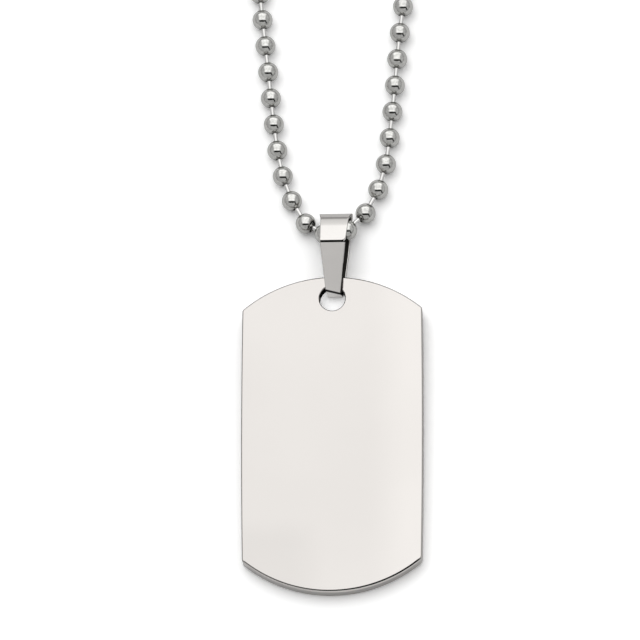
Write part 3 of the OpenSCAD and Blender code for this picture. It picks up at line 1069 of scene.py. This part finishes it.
def repeated(name, tree, points, ways, stretches, fine, shapes, material):
    """Sets the fine or coarse shape on each point, and returns one plain mesh."""
    cloud = bpy.data.meshes.new(name + "_points")
    cloud.from_pydata([tuple(p) for p in points], [], [])
    cloud.attributes.new("way", "FLOAT_VECTOR", "POINT").data.foreach_set("vector", np.ravel(ways))
    cloud.attributes.new("stretch", "FLOAT_VECTOR", "POINT").data.foreach_set("vector", np.ravel(stretches))
    cloud.attributes.new("fine", "BOOLEAN", "POINT").data.foreach_set("value", [bool(f) for f in fine])
    holder = bpy.data.objects.new(name + "_points", cloud)
    bpy.context.scene.collection.objects.link(holder)
    models = []
    for mesh in shapes:
        model = bpy.data.objects.new(mesh.name, mesh)
        bpy.context.scene.collection.objects.link(model)
        models.append(model)
    modifier = holder.modifiers.new("repeat", "NODES")
    modifier.node_group = tree
    given = {
        item.name: item.identifier
        for item in tree.interface.items_tree
        if item.item_type == "SOCKET" and item.in_out == "INPUT"
    }
    modifier[given["Fine shape"]] = models[0]
    modifier[given["Coarse shape"]] = models[1]
    modifier[given["Material"]] = material
    holder.update_tag()
    bpy.context.view_layer.update()
    mesh = baked(holder, name)
    for model in models:
        bpy.data.objects.remove(model)
    for attribute in ("way", "stretch", "fine"):
        if attribute in mesh.attributes:
            mesh.attributes.remove(mesh.attributes[attribute])
    return mesh


# %% Beads
CLOSE_UP_Y = HOLE.y + 40 * MM
repeat = repeat_tree("shapes_on_a_chain")
bead_mesh = repeated(
    "beads", repeat, beads, bead_ways, np.ones_like(beads), beads[:, 1] < CLOSE_UP_Y,
    (
        turned("fine_bead", fine_profile, FINE_SIDES, mouth=MOUTH_PAINTED_SHADE),
        turned("coarse_bead", coarse_profile, COARSE_SIDES, mouth=MOUTH_PAINTED_SHADE),
    ),
    bead_steel,
)
bead_chain = make_piece("beads", bead_mesh)
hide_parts("chain_beads")
print_sizes(bead_mesh, "chain_beads")

# %% [markdown]
# ## The links
#
# A real link is a short wire with a head inside each of its two balls. Only its middle shows, so each gap
# between two balls gets one straight rod, set by the same tree and stretched to the gap, and its ends hide in
# the bores. One long bent tube could do the same, with faces inside the balls that nobody sees. The widest
# gap is the connector's, which gets a short stub of wire at each end instead.

# %% Links of wire
ROD_START, STUB_END = 0.85, 2.3
FINE_ROD_SIDES, COARSE_ROD_SIDES = 16, 8
rods = np.array([i for i in range(len(beads)) if i != joint_link])
rod_lengths = link_lengths[rods] - 2 * ROD_START * MM
stretches = np.stack([np.ones(len(rods)), np.ones(len(rods)), rod_lengths / MM], axis=1)
rod_middles = beads[rods] + links[rods] / 2
rod = [(WIRE_R, -0.5), (WIRE_R, 0.5)]
rod_mesh = repeated(
    "links", repeat, rod_middles, link_ways[rods], stretches, rod_middles[:, 1] < CLOSE_UP_Y,
    (turned("fine_rod", rod, FINE_ROD_SIDES), turned("coarse_rod", rod, COARSE_ROD_SIDES)), wire_steel,
)
for sign in (-1, 1):
    start = beads[joint_link] if sign < 0 else beads[(joint_link + 1) % len(beads)]
    stub = turned("stub", [(WIRE_R, ROD_START), (WIRE_R, STUB_END)], COARSE_ROD_SIDES)
    stub.transform(aimed(start, link_ways[joint_link] * -sign))
    shape = bmesh.new()
    shape.from_mesh(rod_mesh)
    shape.from_mesh(stub)
    shape.to_mesh(rod_mesh)
    shape.free()
link_chain = make_piece("links", rod_mesh)
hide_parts("chain_wire")
print_sizes(rod_mesh, "chain_wire")

# %% [markdown]
# ## The connector
#
# The photograph cuts the chain off before its connector, so this piece is a guess. On such a chain it is
# often a short sleeve of thin sheet that clips over the last ball of each end. A clip with its slots could be
# modelled, but nothing shows whether it would be right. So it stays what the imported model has, a plain
# drilled sleeve with domed ends, turned from one profile.

# %% Connector at the back of the neck
SLEEVE_END = [
    (1.596, 1.2), (1.596, 3.4), (1.596, 3.68), (1.57, 3.82), (1.5, 3.93), (1.4, 4.01), (1.2, 4.09),
    (0.9, 4.17), (0.6, 4.23), (0.42, 4.25), (0.36, 4.21), (0.36, 3.6),
]
SLEEVE_SIDES = 40
sleeve_profile = [(radius, -height) for radius, height in reversed(SLEEVE_END)] + SLEEVE_END
sleeve_mesh = turned("connector_sleeve", sleeve_profile, SLEEVE_SIDES, closed=True)
sleeve_middle = (beads[joint_link] + beads[(joint_link + 1) % len(beads)]) / 2
sleeve_mesh.transform(aimed(sleeve_middle, link_ways[joint_link]))
sleeve_mesh.materials.append(connector_steel)
sleeve = make_piece("connector_sleeve", sleeve_mesh)
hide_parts("connector")
print_sizes(sleeve_mesh, "connector")

# %% [markdown]
# ## The last sizes
#
# The dressed model's box and the imported one's are gathered in a table and printed side by side. The dressed
# model must stay inside the imported one's box.

# %% Sizes, then the end
visual_low, visual_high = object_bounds()
sizes = {
    "cad": [list(cad_low), list(cad_high)],
    "visual": [list(visual_low), list(visual_high)],
}
for name, (low, high) in sizes.items():
    print(name, [round(v / MM, 3) for v in low], [round(v / MM, 3) for v in high])
